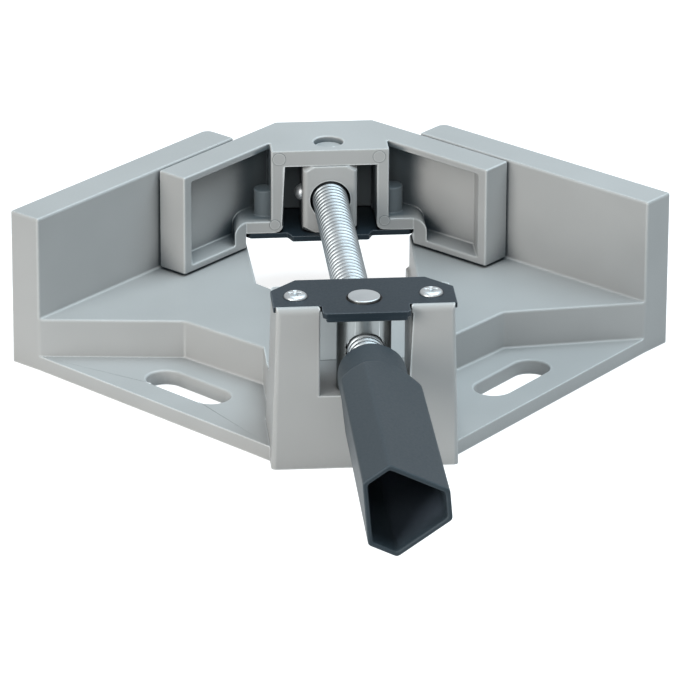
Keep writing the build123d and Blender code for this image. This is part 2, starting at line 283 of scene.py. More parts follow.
def softened(node, name, width, segments=3, merge=0.02 * MM, kept_levels=(), hidden=None):
    """Copy of a CAD node with flat faces merged and each edge rounded to the width it has room for.

    Planes at the kept levels, such as the rim on the bench, stay as they are. The hidden test picks
    other edges that stay sharp, such as those of a seat under a plate.
    """
    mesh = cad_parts[node].data.copy()
    mesh.materials.clear()
    weighted_edges(mesh, width, merge, kept_levels, hidden)
    piece = bpy.data.objects.new(name, mesh)
    bpy.context.collection.objects.link(piece)
    bevel = piece.modifiers.new("rounded edges", "BEVEL")
    bevel.width = width
    bevel.segments = segments
    bevel.limit_method = "WEIGHT"
    bevel.use_clamp_overlap = False
    bevel.miter_outer = "MITER_ARC"
    piece.data = bpy.data.meshes.new_from_object(piece.evaluated_get(
        bpy.context.evaluated_depsgraph_get()))
    piece.modifiers.clear()
    mark_sharp(piece.data)
    weighted = piece.modifiers.new("flat faces", "WEIGHTED_NORMAL")
    weighted.weight = 90
    weighted.keep_sharp = True
    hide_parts(node)
    return piece


print("softened copies a node and rounds its edges")

# %% Soften the castings, the plates and the nut
BENCH = 0.0
BLOCK_FOOT = 24.1 * MM
BLOCK_TOP = 47.4 * MM
SEAT = 52.6 * MM
POST_FRONT = corner_y - 183 * MM
SEAT_EDGE = 1.5 * MM


def under_plate(point):
    """True on the posts' seat, which the nut's plate covers."""
    return abs(point.z - SEAT) < LEVEL_PLAY and point.y > POST_FRONT + SEAT_EDGE


base = softened("base", "base_casting", 0.7 * MM, merge=0.05 * MM, kept_levels=(BENCH,),
                hidden=under_plate)
jaw = softened("moving_jaw", "jaw_casting", 0.5 * MM)
block = softened("swivel_block", "swivel_block_turned", 0.2 * MM, 2,
                 kept_levels=(BLOCK_FOOT, BLOCK_TOP))
top_plate = softened("nut_plate", "nut_plate_pressed", 0.35 * MM, 2)
low_plate = softened("jaw_plate", "jaw_plate_pressed", 0.35 * MM, 2)
nut = softened("swivel_nut", "swivel_nut_turned", 0.4 * MM, 3)
for piece, body in ((base, "base"), (jaw, "jaw"), (block, "block"), (top_plate, "base"),
                    (low_plate, "jaw"), (nut, "nut")):
    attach(piece, body)
    print(piece.name, len(piece.data.polygons), "faces with the rounded edges")

# %% [markdown]
# ## Rounded tops of the tower's posts
# The fronts of the tower's two posts are rounder at the top than any other edge of the casting. The
# edges there are too short for a wide bevel. So the mesh is cut at a few levels, which lie closer
# together towards the top, and the front's points move back onto a quarter ellipse.

# %% Round the posts
ROUNDED_DEPTH = 1.4 * MM
ROUNDED_DROP = 2.4 * MM
ROUNDED_LEVELS = (0, 0.3, 0.5, 0.68, 0.8, 0.9, 0.97)
FRONT_PLAY = 0.1 * MM
CUT_SNAP = 0.001 * MM


def rounded_posts(mesh):
    """With t from 0 to 1 up the rounding, y = front + depth * (1 - sqrt(1 - t * t)).

    Returns the number of points that lie in the rounding.
    """
    work = bmesh.new()
    work.from_mesh(mesh)
    for t in ROUNDED_LEVELS:
        level = TOWER_TOP - ROUNDED_DROP * (1 - t)
        bmesh.ops.bisect_plane(work, geom=work.verts[:] + work.edges[:] + work.faces[:],
                               dist=CUT_SNAP, plane_co=(0, 0, level), plane_no=(0, 0, 1))
    work.to_mesh(mesh)
    work.free()
    x, y, z = points_of(mesh).T
    t = np.clip(1 - (TOWER_TOP - z) / ROUNDED_DROP, 0, 1)
    front = POST_FRONT + ROUNDED_DEPTH * (1 - np.sqrt(1 - t * t))
    moved = (t > 0) & (y < POST_FRONT + ROUNDED_DEPTH + FRONT_PLAY)
    y = np.where(moved, np.maximum(y, front), y)
    mesh.vertices.foreach_set("co", grid_points(x, y, z).ravel())
    mesh.update()
    mark_sharp(mesh)
    return int(moved.sum())


print(rounded_posts(base.data), "points lie in the posts' rounding")

# %% [markdown]
# ## The lip under the tab
# The front edge of the tab on the nut's plate looks thicker than the plate, as where a press has bent
# it down a little. A bend would need the plate's own mesh to be taken apart, so the lip is a piece of
# its own: one rounded section carried along the tab and drawn in at both corners.

# %% Lip under the tab
LIP_DROP = 1.1 * MM
LIP_DEPTH = 1.1 * MM
LIP_ROUNDING = 0.4 * MM
LIP_INTO_PLATE = 0.8 * MM
LIP_STATIONS = (-1, -0.985, -0.95, 0.95, 0.985, 1)
LIP_SHRINK = (0.45, 0.85, 1, 1, 0.85, 0.45)
LIP_SPREAD = 0.8
LIP_AROUND = 32


def rounded_side(size, wave):
    """One coordinate of a rounded rectangle: the wave clipped to the flat part, plus its rounding."""
    flat = size / 2 - LIP_ROUNDING
    return np.clip(LIP_SPREAD * size * wave, -flat, flat) + LIP_ROUNDING * wave


def tab_lip():
    """Section = rounded rectangle below the tab's front edge, carried from one corner to the other."""
    corners = points_of(top_plate.data)
    front, seat = corners[:, 1].min(), corners[:, 2].min()
    half = np.abs(corners[corners[:, 1] < front + FRONT_PLAY][:, 0]).max()
    turn = full_turn(LIP_AROUND)
    tall = LIP_DROP + LIP_INTO_PLATE
    along, shrink = (np.array(column)[:, None] for column in (LIP_STATIONS, LIP_SHRINK))
    rings = grid_points(along * half,
                        front + LIP_DEPTH / 2 + rounded_side(LIP_DEPTH, np.cos(turn)) * shrink,
                        seat - LIP_DROP + tall / 2 + rounded_side(tall, np.sin(turn)) * shrink)
    return closed_tube("nut_plate_lip", rings)


lip = tab_lip()
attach(lip, "base")
print("lip under the tab:", len(lip.data.polygons), "faces")

# %% [markdown]
# ## The rolled thread
# The screw is a coarse rolled thread. Its surface is a cylinder whose radius rises and falls with one
# number: the distance along the axis, in pitches, less the turn round the axis. That number is the
# place across one thread, so a single wave of it makes the whole helix. A Screw modifier could wind
# a profile too, but here the thread can also fade out at its ends and stop at the neck.

# %% Lead screw
PITCH = 3.0 * MM
SCREW_RADIUS = 5.9 * MM
SCREW_BACK = -64.2 * MM
SCREW_FRONT = 145.0 * MM
THREAD_DEPTH = 0.9 * MM
THREAD_STEPS = 14
SCREW_AROUND = 72
NECK_LENGTH = 4.6 * MM
NECK_RADIUS = 4.2 * MM
RUN_OUT = 2.0 * MM
FLANK_STEEPNESS = 1.5
CREST_LIFT = 0.6


def thread_wave(phase):
    """Height of a thread flank from 0 at the root to 1 at the crest: a clipped, smoothed triangle."""
    triangle = np.abs((phase % 1.0) * 2 - 1)
    flank = np.clip(FLANK_STEEPNESS * (triangle - 0.5) + CREST_LIFT, 0, 1)
    return flank * flank * (3 - 2 * flank)


def lead_screw():
    """Radius = root + depth * wave(distance / pitch - turn / full turn), faded out at both ends."""
    count = int((SCREW_FRONT - SCREW_BACK) / PITCH * THREAD_STEPS)
    along = np.linspace(SCREW_BACK, SCREW_FRONT, count)[:, None]
    turn = full_turn(SCREW_AROUND)
    fade = np.clip(np.minimum(along - SCREW_BACK, SCREW_FRONT - along) / RUN_OUT, 0, 1)
    wave = thread_wave(along / PITCH - turn / (2 * np.pi))
    radius = SCREW_RADIUS - THREAD_DEPTH * (1 - wave * fade)
    neck = (block_y - nut_y) / math.cos(SLOPE)
    radius = np.where(np.abs(along - neck) < NECK_LENGTH / 2, NECK_RADIUS, radius)
    return round_the_screw("lead_screw_thread", radius, along, turn)


screw = lead_screw()
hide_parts("lead_screw")
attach(screw, "screw")
print("thread turns:", round((SCREW_FRONT - SCREW_BACK) / PITCH, 1))

# %% [markdown]
# ## The handle
# The handle is a moulded shell with three broad flats and three narrow ones, so that fingers don't
# slip. Its section is a rounded polygon, found without any corner points: the radius in a direction
# is the least distance at which a flat is met, blended smoothly over the six flats. The blend is a
# high power mean, and its power sets how round the corners are.

# %% Handle section
HANDLE_TURN = math.radians(65.0)
BROAD_FLAT = 11.3 * MM
NARROW_FLAT = 14.25 * MM
CORNER_POWER = 42
LEAST_FACING = 0.05
NEVER_MET = 1.0


def soft_least(values, power):
    """Smooth minimum over the first axis: (sum of v to the power -p) to the power -1/p."""
    low = values.min(0)
    return low * np.sum((values / low) ** -float(power), 0) ** (-1.0 / power)


def flats_radius(turn, shrink):
    """Radius at which a ray meets the six flats, each moved in by shrink."""
    reaches = []
    for number in range(6):
        distance = (BROAD_FLAT, NARROW_FLAT)[number % 2] - shrink
        facing = np.cos(turn - HANDLE_TURN - number * math.pi / 3)
        met = distance / np.maximum(facing, LEAST_FACING)
        reaches.append(np.where(facing > LEAST_FACING, met, NEVER_MET))
    return soft_least(np.stack(np.broadcast_arrays(*reaches)), CORNER_POWER)


section = flats_radius(full_turn(360), 0) / MM
print("section's radius from", section.min().round(1), "to", section.max().round(1), "mm")

# %% [markdown]
# ## The handle's shell
# A single path makes the whole shell: from the neck along the outside, over the rim, and back in
# along the wall to the floor of the hollow. Near the neck a cone limits the radius, so that the
# corners stand out from it as shoulders. The stations lie close together there.

# %% Handle stations
HANDLE_START = -28.2 * MM
HANDLE_LENGTH = 107.5 * MM
WALL = 1.5 * MM
HOLLOW = 58.0 * MM
RIM_ROUNDING = 0.5 * MM
RIM_STEPS = 5


def handle_path():
    """Columns of the distance from the neck and of the inset from the outer skin."""
    outer = np.concatenate([[0.0, 0.05, 0.3, 1.0], np.linspace(2.0, 14.0, 6), np.linspace(15, 34, 58),
                            np.linspace(36, 60, 6),
                            np.linspace(65, HANDLE_LENGTH / MM - 1.2, 8)]) * MM
    roll = np.linspace(0, np.pi / 2, RIM_STEPS)
    rim = HANDLE_LENGTH - RIM_ROUNDING + RIM_ROUNDING * np.sin(roll)
    rim_in = RIM_ROUNDING * (1 - np.cos(roll))
    inner = HANDLE_LENGTH - np.array([0.0, 0.15, 0.5, 3, 12, 30, 50]) * MM
    inner_in = WALL + np.array([-0.5, -0.15, 0, 0, 0, 0, 0]) * MM
    end = HANDLE_LENGTH - HOLLOW + np.array([1.0, 0.3, 0.0, 0.0]) * MM
    end_in = WALL + np.array([0.0, 0.3, 1.0, 6.0]) * MM
    distance = np.concatenate([outer, rim, inner, end])[:, None]
    inset = np.concatenate([np.zeros_like(outer), rim_in, inner_in, end_in])[:, None]
    return distance, inset


print(len(handle_path()[0]), "stations along the handle's skin")

# %% Handle shell
FLARE = 0.6 * MM
NECK_OUTER = 10.9 * MM
NECK_RUN = 16.0 * MM
NECK_ROUNDING = 0.8 * MM
SHOULDER_RUN = 12.0 * MM
SHOULDER_RISE = 6.0 * MM
SHOULDER_POWER = 40
HANDLE_AROUND = 240
NO_LIMIT = 1.0


def handle_shell():
    """Radius = smooth least of the flats, which flare towards the open end, and an envelope.

    The envelope is the neck's rounded end, then the neck, then the cone of the shoulders.
    """
    distance, inset = handle_path()
    turn = full_turn(HANDLE_AROUND)
    flats = flats_radius(turn, inset + FLARE * (1 - distance / HANDLE_LENGTH))
    cone = NECK_OUTER + np.maximum(distance - NECK_RUN, 0) * (SHOULDER_RISE / SHOULDER_RUN)
    share = np.clip(distance, 0, NECK_ROUNDING) / NECK_ROUNDING
    neck_end = NECK_OUTER - NECK_ROUNDING + np.sqrt(share) * NECK_ROUNDING
    envelope = np.minimum(cone, np.where(distance < NECK_ROUNDING, neck_end, NO_LIMIT))
    radius = soft_least(np.stack(np.broadcast_arrays(flats, envelope)), SHOULDER_POWER)
    return round_the_screw("handle_shell", radius, HANDLE_START - distance, turn)


handle = handle_shell()
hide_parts("handle")
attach(handle, "screw")
print("handle length", round(HANDLE_LENGTH, 4), "m")

# %% [markdown]
# ## Small fasteners
# The plates are held by pan head screws with a cross recess. The recess could be cut with a Boolean,
# which leaves long thin faces. Here the head is one height field over a disc instead: a flattened
# dome, less a cross whose walls are drawn in by a smooth step. The CAD head is 1.8 mm tall. The real
# one is flatter, so the dome rises only 1.35 mm from the same seat.

# %% Pan head with a cross recess
HEAD_RADIUS = 3.7 * MM
HEAD_HEIGHT = 1.8 * MM
CROWN = 1.35 * MM
SHANK_RADIUS = 1.9 * MM
ARM_WIDTH = 0.55 * MM
ARM_LENGTH = 2.0 * MM
WALL_STEP = 0.12 * MM
END_STEP = 0.35 * MM
RECESS_DEPTH = 1.0 * MM
RECESS_FLOOR = 0.1 * MM
HEAD_RINGS = 44
HEAD_AROUND = 128


def head_surface(share, turn):
    """Height = dome(share of the radius) - recess * inside(cross)."""
    r = HEAD_RADIUS * share
    x, y = r * np.cos(turn), r * np.sin(turn)
    dome = CROWN * (1 - share ** 4) ** 0.5
    arm = np.minimum(np.abs(x), np.abs(y))
    reach = np.maximum(np.abs(x), np.abs(y))
    inside = np.clip((ARM_WIDTH - arm) / WALL_STEP + 0.5, 0, 1)
    inside = inside * np.clip((ARM_LENGTH - reach) / END_STEP + 0.5, 0, 1)
    return grid_points(x, y, np.maximum(dome - RECESS_DEPTH * inside, RECESS_FLOOR))


def pan_head(name, node, up):
    """Screw in one closed surface: shank, edge of the head and its top. Up is 1 or -1."""
    centre = middle(node)
    low, high = (Vector(corner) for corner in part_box(node))
    seat = high.z - HEAD_HEIGHT if up > 0 else low.z + HEAD_HEIGHT
    turn = full_turn(HEAD_AROUND)
    shank = grid_points(SHANK_RADIUS * np.cos(turn), SHANK_RADIUS * np.sin(turn), 0)
    skirt = grid_points(HEAD_RADIUS * np.cos(turn), HEAD_RADIUS * np.sin(turn), 0)
    tip = shank - np.array([0, 0, (high.z - low.z) - HEAD_HEIGHT])
    top = head_surface(np.linspace(1, 0, HEAD_RINGS, endpoint=False)[:, None], turn)
    points = np.concatenate([tip, shank, skirt, top])
    points[..., 2] *= up
    if up < 0:
        points[..., 1] *= -1
    piece = closed_tube(name, points + np.array([centre.x, centre.y, seat]))
    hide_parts(node)
    return piece


fasteners = []
for side in ("left", "right"):
    for plate, body, up in (("nut_plate", "base", 1), ("jaw_plate", "jaw", -1)):
        node = plate + "_screw_" + side
        screw_piece = pan_head(node + "_crossed", node, up)
        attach(screw_piece, body)
        fasteners.append(screw_piece)
print(len(fasteners), "pan head screws")

# %% [markdown]
# ## The two pins
# The keeper pin has a domed, polished head, so it is a profile turned about its own axis. The pin
# through the handle's neck is a plain dowel with rounded ends.

# %% Keeper pin
DOME_HEIGHT = 2.4 * MM
DOME_STEPS = 14
PIN_RADIUS = 2.0 * MM
PIN_TIP_RADIUS = 1.5 * MM
PIN_TIP = 0.4 * MM


def keeper_pin():
    """Profile of a dome on a shank, turned about the X direction.

    The dome belongs to a ball of radius (head radius squared + height squared) / (2 * height).
    """
    low, high = (Vector(corner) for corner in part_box("keeper_pin"))
    head_radius = (high.z - low.z) / 2
    length = high.x - low.x
    ball = (head_radius ** 2 + DOME_HEIGHT ** 2) / (2 * DOME_HEIGHT)
    heights = np.linspace(0.02, 1, DOME_STEPS) * DOME_HEIGHT
    dome = [(h, math.sqrt(max(ball ** 2 - (ball - h) ** 2, 0))) for h in heights]
    shank = [(DOME_HEIGHT, PIN_RADIUS), (length - PIN_TIP, PIN_RADIUS), (length, PIN_TIP_RADIUS)]
    origin = (low.x, (low.y + high.y) / 2, (low.z + high.z) / 2)
    return lathe("keeper_pin_domed", dome + shank, origin, (1, 0, 0), 64)


pin = keeper_pin()
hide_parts("keeper_pin")
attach(pin, "block")
print(pin.name, len(pin.data.polygons), "faces")

# %% Dowel through the handle's neck
DOWEL_END = 0.3 * MM
DOWEL_BEND = 0.3


def dowel():
    """Straight pin with both ends rounded over, turned about an axis square to the sloping screw."""
    low, high = (Vector(corner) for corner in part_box("handle_pin"))
    radius = (high.x - low.x) / 2
    length = high.z - low.z
    bend = DOWEL_END * DOWEL_BEND
    turned = [(0, radius - DOWEL_END), (bend, radius - bend), (DOWEL_END, radius),
              (length - DOWEL_END, radius), (length - bend, radius - bend),
              (length, radius - DOWEL_END)]
    upright = Vector((0, math.sin(SLOPE), math.cos(SLOPE)))
    return lathe("handle_dowel", turned, middle("handle_pin") - upright * length / 2, upright, 48)


cross_pin = dowel()
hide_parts("handle_pin")
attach(cross_pin, "screw")
print(cross_pin.name, len(cross_pin.data.polygons), "faces")

# %% [markdown]
# ## Ejector marks
# Pins push a hot casting out of its mould, and each leaves a flat round mark. Four show on the front
# of the jaw. Each is a thin disc with a rounded edge, sunk so far that only a hair's breadth stands
# out. Its outermost ring is a material of its own, with a dark tone painted as the shade in the fine
# groove round the mark.

# %% Round marks on the jaw
MARK_PROUD = 0.10 * MM
MARK_LINE = 0.22 * MM
MARK_SUNK = 0.5 * MM
MARK_RIM_STEPS = 5
JAW_FRONT = corner_y - 45.0 * MM


def ejector_mark(name, x, z, radius):
    """Disc profile with its rim rounded by a quarter circle, turned about the Y direction."""
    roll = np.linspace(0, np.pi / 2, MARK_RIM_STEPS)
    rim = [(MARK_PROUD * math.sin(a), radius - MARK_PROUD * (1 - math.cos(a))) for a in roll]
    inside = [(MARK_PROUD, radius - MARK_LINE), (MARK_PROUD, radius / 2)]
    return lathe(name, [(-MARK_SUNK, radius)] + rim + inside, (x, JAW_FRONT, z), (0, -1, 0), 48)


marks = []
for name, x, z, radius in (("upper_left", -17.0, 50.2, 2.3), ("upper_right", 16.3, 50.3, 2.2),
                           ("lower_left", -18.4, 26.9, 1.9), ("lower_right", 18.2, 27.4, 1.9)):
    mark = ejector_mark("ejector_mark_" + name, x * MM, z * MM, radius * MM)
    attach(mark, "jaw")
    marks.append(mark)
print(len(marks), "ejector marks")

# %% [markdown]
# ## Wiring of the finishes
# A material is a graph of nodes. Each helper adds a node or two and wires them at once: what goes
# into an input is either a number or colour, or the output of another node.

# %% Node helpers
def add(tree, kind, inputs=None, **settings):
    """Add a node, set its properties, and give each named or numbered input its value or its link."""
    node = tree.nodes.new(kind)
    for key, value in settings.items():
        setattr(node, key, value)
    for label, value in (inputs or {}).items():
        if isinstance(value, bpy.types.NodeSocket):
            tree.links.new(value, node.inputs[label])
        else:
            node.inputs[label].default_value = value
    return node


def worked_out(tree, operation, *values, clamp=False):
    """Result of a Math node that takes the values in their order."""
    return add(tree, "ShaderNodeMath", dict(enumerate(values)), operation=operation,
               use_clamp=clamp).outputs[0]


def ramped(tree, value, low, high, start=0.0, end=1.0):
    """Ramp from start, where the value is low, to end, where it is high, and level beyond both."""
    return add(tree, "ShaderNodeMapRange", {"Value": value, "From Min": low, "From Max": high,
                                            "To Min": start, "To Max": end}).outputs["Result"]


def mixed(tree, share, under, over):
    """Colour that goes from under to over as the share goes from 0 to 1."""
    return add(tree, "ShaderNodeMix", {"Factor": share, "A": under, "B": (*over, 1)},
               data_type="RGBA").outputs["Result"]


def own_place(tree):
    """The point's place in the object's own coordinates, split into X, Y and Z."""
    place = add(tree, "ShaderNodeTexCoord").outputs["Object"]
    return add(tree, "ShaderNodeSeparateXYZ", {0: place}).outputs


def effect(tree, group, inputs):
    """The number that a shared effect gives over the surface with these inputs."""
    return add(tree, "ShaderNodeGroup", inputs, node_tree=group).outputs[0]


print("node helpers ready: add, worked_out, ramped, mixed, own_place, effect")

# %% [markdown]
# ## Shared effects
# Five effects turn up in the finishes: a fine grain, soft cloudy mottling, wear and painted highlight
# along edges, painted shade or light in deep recesses and a ring round an axis. Each is a node group
# that gives back a number over the surface. The materials decide what to do with it.

# %% Grain and mottling
def new_group(name, inputs, outputs):
    """Empty shader node group with float inputs (name, default) and named float outputs."""
    group = bpy.data.node_groups.new(name, "ShaderNodeTree")
    for label, default in inputs:
        socket = group.interface.new_socket(name=label, in_out="INPUT", socket_type="NodeSocketFloat")
        socket.default_value = default
    for label in outputs:
        group.interface.new_socket(name=label, in_out="OUTPUT", socket_type="NodeSocketFloat")
    entry = group.nodes.new("NodeGroupInput")
    leave = group.nodes.new("NodeGroupOutput")
    return group, entry.outputs, leave.inputs


def noise_group(name, label, scale, detail, roughness):
    """One noise over the object's own place. The group's input is how many grains go in a metre."""
    group, given, result = new_group(name, [("Scale", scale)], [label])
    place = add(group, "ShaderNodeTexCoord").outputs["Object"]
    noise = add(group, "ShaderNodeTexNoise", {"Vector": place, "Scale": given["Scale"],
                                              "Detail": detail, "Roughness": roughness})
    group.links.new(noise.outputs["Fac"], result[label])
    return group


GRAIN = noise_group("surface grain", "Grain", scale=900.0, detail=3.0, roughness=0.65)
MOTTLE = noise_group("cloudy mottling", "Mottle", scale=25.0, detail=2.0, roughness=0.5)
print("groups:", GRAIN.name, "and", MOTTLE.name)

# %% Edge wear and painted highlight
def edge_group():
    """How far a rounded normal leans from the true one: 0 on a flat, towards 1 on an edge."""
    group, given, result = new_group("edge wear and painted highlight", [("Width", 0.8 * MM), ("Strength", 3.0)], ["Edge"])
    rounded = add(group, "ShaderNodeBevel", {"Radius": given["Width"]}, samples=4)
    true = add(group, "ShaderNodeNewGeometry")
    lean = add(group, "ShaderNodeVectorMath", {0: rounded.outputs["Normal"],
                                               1: true.outputs["Normal"]}, operation="DOT_PRODUCT")
    turned = worked_out(group, "SUBTRACT", 1.0, lean.outputs["Value"])
    scaled = worked_out(group, "MULTIPLY", turned, given["Strength"], clamp=True)
    group.links.new(scaled, result["Edge"])
    return group


EDGE = edge_group()
print("group:", EDGE.name)

# %% Painted shade and light in recesses
def recess_group():
    """How closed in a place is: 0 out in the open, towards 1 deep in a pocket."""
    group, given, result = new_group("painted shade and light in recesses", [("Reach", 12 * MM), ("From", 0.5), ("To", 0.9)],
                                     ["Recess"])
    open_sky = add(group, "ShaderNodeAmbientOcclusion", {"Distance": given["Reach"]}, samples=6)
    closed = worked_out(group, "SUBTRACT", 1.0, open_sky.outputs["AO"])
    ramp = add(group, "ShaderNodeMapRange", interpolation_type="SMOOTHSTEP",
               inputs={"Value": closed, "From Min": given["From"], "From Max": given["To"]})
    group.links.new(ramp.outputs["Result"], result["Recess"])
    return group


RECESS = recess_group()
print("group:", RECESS.name)

# %% Ring round an axis
def ring_group():
    """1 where the distance from an upright axis at (X, Y) is near the radius, and 0 elsewhere."""
    group, given, result = new_group("ring round an axis", [("X", 0.0), ("Y", 0.0),
                                                            ("Radius", 5 * MM), ("Width", 0.4 * MM)],
                                     ["Ring"])
    place = own_place(group)
    here, centre = (add(group, "ShaderNodeCombineXYZ", {"X": source["X"], "Y": source["Y"]})
                    for source in (place, given))
    distance = add(group, "ShaderNodeVectorMath", {0: here.outputs[0], 1: centre.outputs[0]},
                   operation="DISTANCE")
    near = worked_out(group, "COMPARE", distance.outputs["Value"], given["Radius"], given["Width"])
    group.links.new(near, result["Ring"])
    return group


RING = ring_group()
print("group:", RING.name)

# %% [markdown]
# ## Finishes
# Each finish is one Principled shader. Its colour moves between two tones with the mottling, lightens
# along the edges as wear and painted highlight, and takes a painted tone in the recesses: painted
# shade, or painted light in the handle's hollow. Its roughness moves with the grain, and the grain
# also drives a very shallow bump, so that highlights break up as they do on a real part.

# %% Finish builder
NOISE_LOW, NOISE_HIGH = 0.3, 0.7


def finish(name, dark, light, edge, roughness, spread, grain, bump, metallic=0.0, specular=0.5,
           mottle=25.0, edge_width=0.8 * MM, edge_strength=3.0, recess_paint=None, reach=12 * MM,
           recess_paint_from=0.5, recess_paint_to=0.9):
    """Material from two tones, an edge tone, a roughness with its spread, and a grain with its depth.

    The recess paint is a last tone that fills deep recesses, as painted shade or painted light.
    """
    material = bpy.data.materials.new(name)
    material.use_nodes = True
    tree = material.node_tree
    grains = effect(tree, GRAIN, {"Scale": grain})
    clouds = effect(tree, MOTTLE, {"Scale": mottle})
    edges = effect(tree, EDGE, {"Width": edge_width, "Strength": edge_strength})
    colour = mixed(tree, ramped(tree, clouds, NOISE_LOW, NOISE_HIGH), (*dark, 1), light)
    # Painted highlight: the edge tone lightens the rounded edges as the light they catch does, with
    # some wear.
    colour = mixed(tree, edges, colour, edge)
    if recess_paint:
        # Painted shade, or painted light in the handle's hollow: a tone laid where a place is closed
        # in.
        recess = effect(tree, RECESS, {"Reach": reach, "From": recess_paint_from, "To": recess_paint_to})
        colour = mixed(tree, recess, colour, recess_paint)
    rough = ramped(tree, grains, NOISE_LOW, NOISE_HIGH, roughness - spread, roughness + spread)
    relief = add(tree, "ShaderNodeBump", {"Strength": 1.0, "Distance": bump, "Height": grains})
    shader = tree.nodes["Principled BSDF"]
    shader.inputs["Metallic"].default_value = metallic
    shader.inputs["Specular IOR Level"].default_value = specular
    for label, source in (("Base Color", colour), ("Roughness", rough),
                          ("Normal", relief.outputs["Normal"])):
        tree.links.new(source, shader.inputs[label])
    return material


print("noise from", NOISE_LOW, "to", NOISE_HIGH, "is spread over the two tones")

# %% [markdown]
# ## The castings' finish
# The castings have the soft sheen of tumbled aluminium under a thin silver coat, brighter along the
# edges with wear and a painted highlight. A metallic shader would mirror the white studio, so the
# finish is a pale, half-rough surface that isn't metallic. Deep recesses take painted shade, and the
# jaw's deep pockets take the most.

# %% Castings
def cast_finish(name, reach, recess_paint_from, recess_paint_to):
    """The silver casting finish with its own depth of painted shade in recesses."""
    return finish(name, dark=(0.392, 0.392, 0.390), light=(0.432, 0.432, 0.430),
                  edge=(0.80, 0.82, 0.82), roughness=0.42, spread=0.05, grain=1400.0, bump=0.02 * MM,
                  specular=0.35, edge_strength=8.0, recess_paint=(0.034, 0.052, 0.066), reach=reach,
                  recess_paint_from=recess_paint_from, recess_paint_to=recess_paint_to)


casting = cast_finish("silver casting", 12 * MM, 0.46, 0.92)
# Painted shade: this copy reaches deeper and darkens the jaw's pockets more.
casting_with_painted_shade = cast_finish("silver casting with more painted shade in its pockets", 15 * MM, 0.36, 0.78)
# Painted shade: the dark tone of the fine groove round each ejector mark.
painted_groove_shade = finish("painted shade in the groove round a mark", dark=(0.14, 0.15, 0.15), light=(0.18, 0.19, 0.19),
              edge=(0.24, 0.25, 0.25), roughness=0.5, spread=0.05, grain=1400.0, bump=0.01 * MM)
print("castings:", ", ".join(material.name for material in (casting, casting_with_painted_shade, painted_groove_shade)))

# %% [markdown]
# ## Steel, zinc and plastic
# The plates are blackened steel and hardly shine: painted shade darkens their narrow creases, and a
# painted highlight lightens their edges. Zinc plate is a true metal, so it takes its look from what it
# reflects, and only its tone and roughness tell a bright screw head from the duller thread. The nut's
# sides take a darker zinc as painted shade. The handle is charcoal plastic, and its hollow is
# lightened with painted light.

# %% Black steel and the plastic handle
# Painted shade: the near-black recess tone darkens narrow creases; the lighter edge tone is a painted
# highlight.
black_steel = finish("satin black plate", dark=(0.017, 0.027, 0.036), light=(0.023, 0.034, 0.044),
                     edge=(0.16, 0.18, 0.20), roughness=0.42, spread=0.06, grain=1600.0,
                     bump=0.015 * MM, specular=0.15, edge_width=0.5 * MM, edge_strength=6.0,
                     recess_paint=(0.002, 0.002, 0.003), reach=1.2 * MM, recess_paint_from=0.12, recess_paint_to=0.4)
# Painted light: the pale recess tone lightens the deep hollow, where little lamp light reaches; the
# edge tone is a painted highlight.
plastic = finish("charcoal moulded handle", dark=(0.025, 0.037, 0.047), light=(0.032, 0.045, 0.055),
                 edge=(0.22, 0.25, 0.28), roughness=0.42, spread=0.04, grain=1200.0,
                 bump=0.012 * MM, specular=0.14, edge_width=0.6 * MM, edge_strength=6.0,
                 recess_paint=(0.20, 0.24, 0.32), reach=22 * MM, recess_paint_from=0.5, recess_paint_to=0.95)
print("dark finishes:", black_steel.name, "and", plastic.name)

# %% Zinc plate
def zinc_finish(name, dark, light, edge, roughness, **changes):
    """Metal with a very fine grain and small clouds. The changes are the values that differ."""
    values = dict(metallic=1.0, spread=0.04, grain=1500.0, bump=0.002 * MM, mottle=90.0,
                  edge_width=0.2 * MM)
    values.update(changes)
    return finish(name, dark, light, edge, roughness, **values)


# The zincs' edge tones are painted highlights along their rounded edges.
zinc = zinc_finish("bright zinc plate", (0.43, 0.46, 0.48), (0.50, 0.53, 0.55), (0.66, 0.68, 0.70),
                   0.38)
thread_zinc = zinc_finish("rolled zinc thread", (0.32, 0.35, 0.37), (0.38, 0.41, 0.43),
                          (0.60, 0.62, 0.64), 0.40, spread=0.05, bump=0.003 * MM)
satin_zinc = zinc_finish("satin zinc plate", (0.70, 0.73, 0.75), (0.78, 0.80, 0.82),
                         (0.90, 0.92, 0.93), 0.40, metallic=0.7)
# Painted shade: the nut's sides take this darker zinc, and its flat top keeps the bright zinc.
zinc_with_painted_shade = zinc_finish("zinc plate with painted shade", (0.26, 0.28, 0.29), (0.34, 0.36, 0.36),
                        (0.60, 0.63, 0.64), 0.36, mottle=60.0, edge_width=0.3 * MM)
print("zinc finishes:", ", ".join(metal.name for metal in (zinc, thread_zinc, satin_zinc, zinc_with_painted_shade)))

# %% [markdown]
# ## Gap round the journal
# The nut's journal comes up through a hole in its plate, and the narrow gap round it lies in shade and
# looks black. The hole of the CAD plate fits the journal closely, so the shade in the gap is painted:
# a ring of the plate turns black. A black plastic would still shine a little, but a black metal
# reflects nothing, so the ring goes to Metallic too.

# %% Paint shade into the gap
GAP_WIDTH = 0.6 * MM
GAP_SHADE_TONE = (0.001, 0.001, 0.002)
JOURNAL_TOP = 0.2 * MM


def paint_over(material, mask, tone):
    """Lay a tone over the finish's own colour, as far as the mask goes from 0 to 1."""
    tree = material.node_tree
    colour = tree.nodes["Principled BSDF"].inputs["Base Color"]
    tree.links.new(mixed(tree, mask, colour.links[0].from_socket, tone), colour)


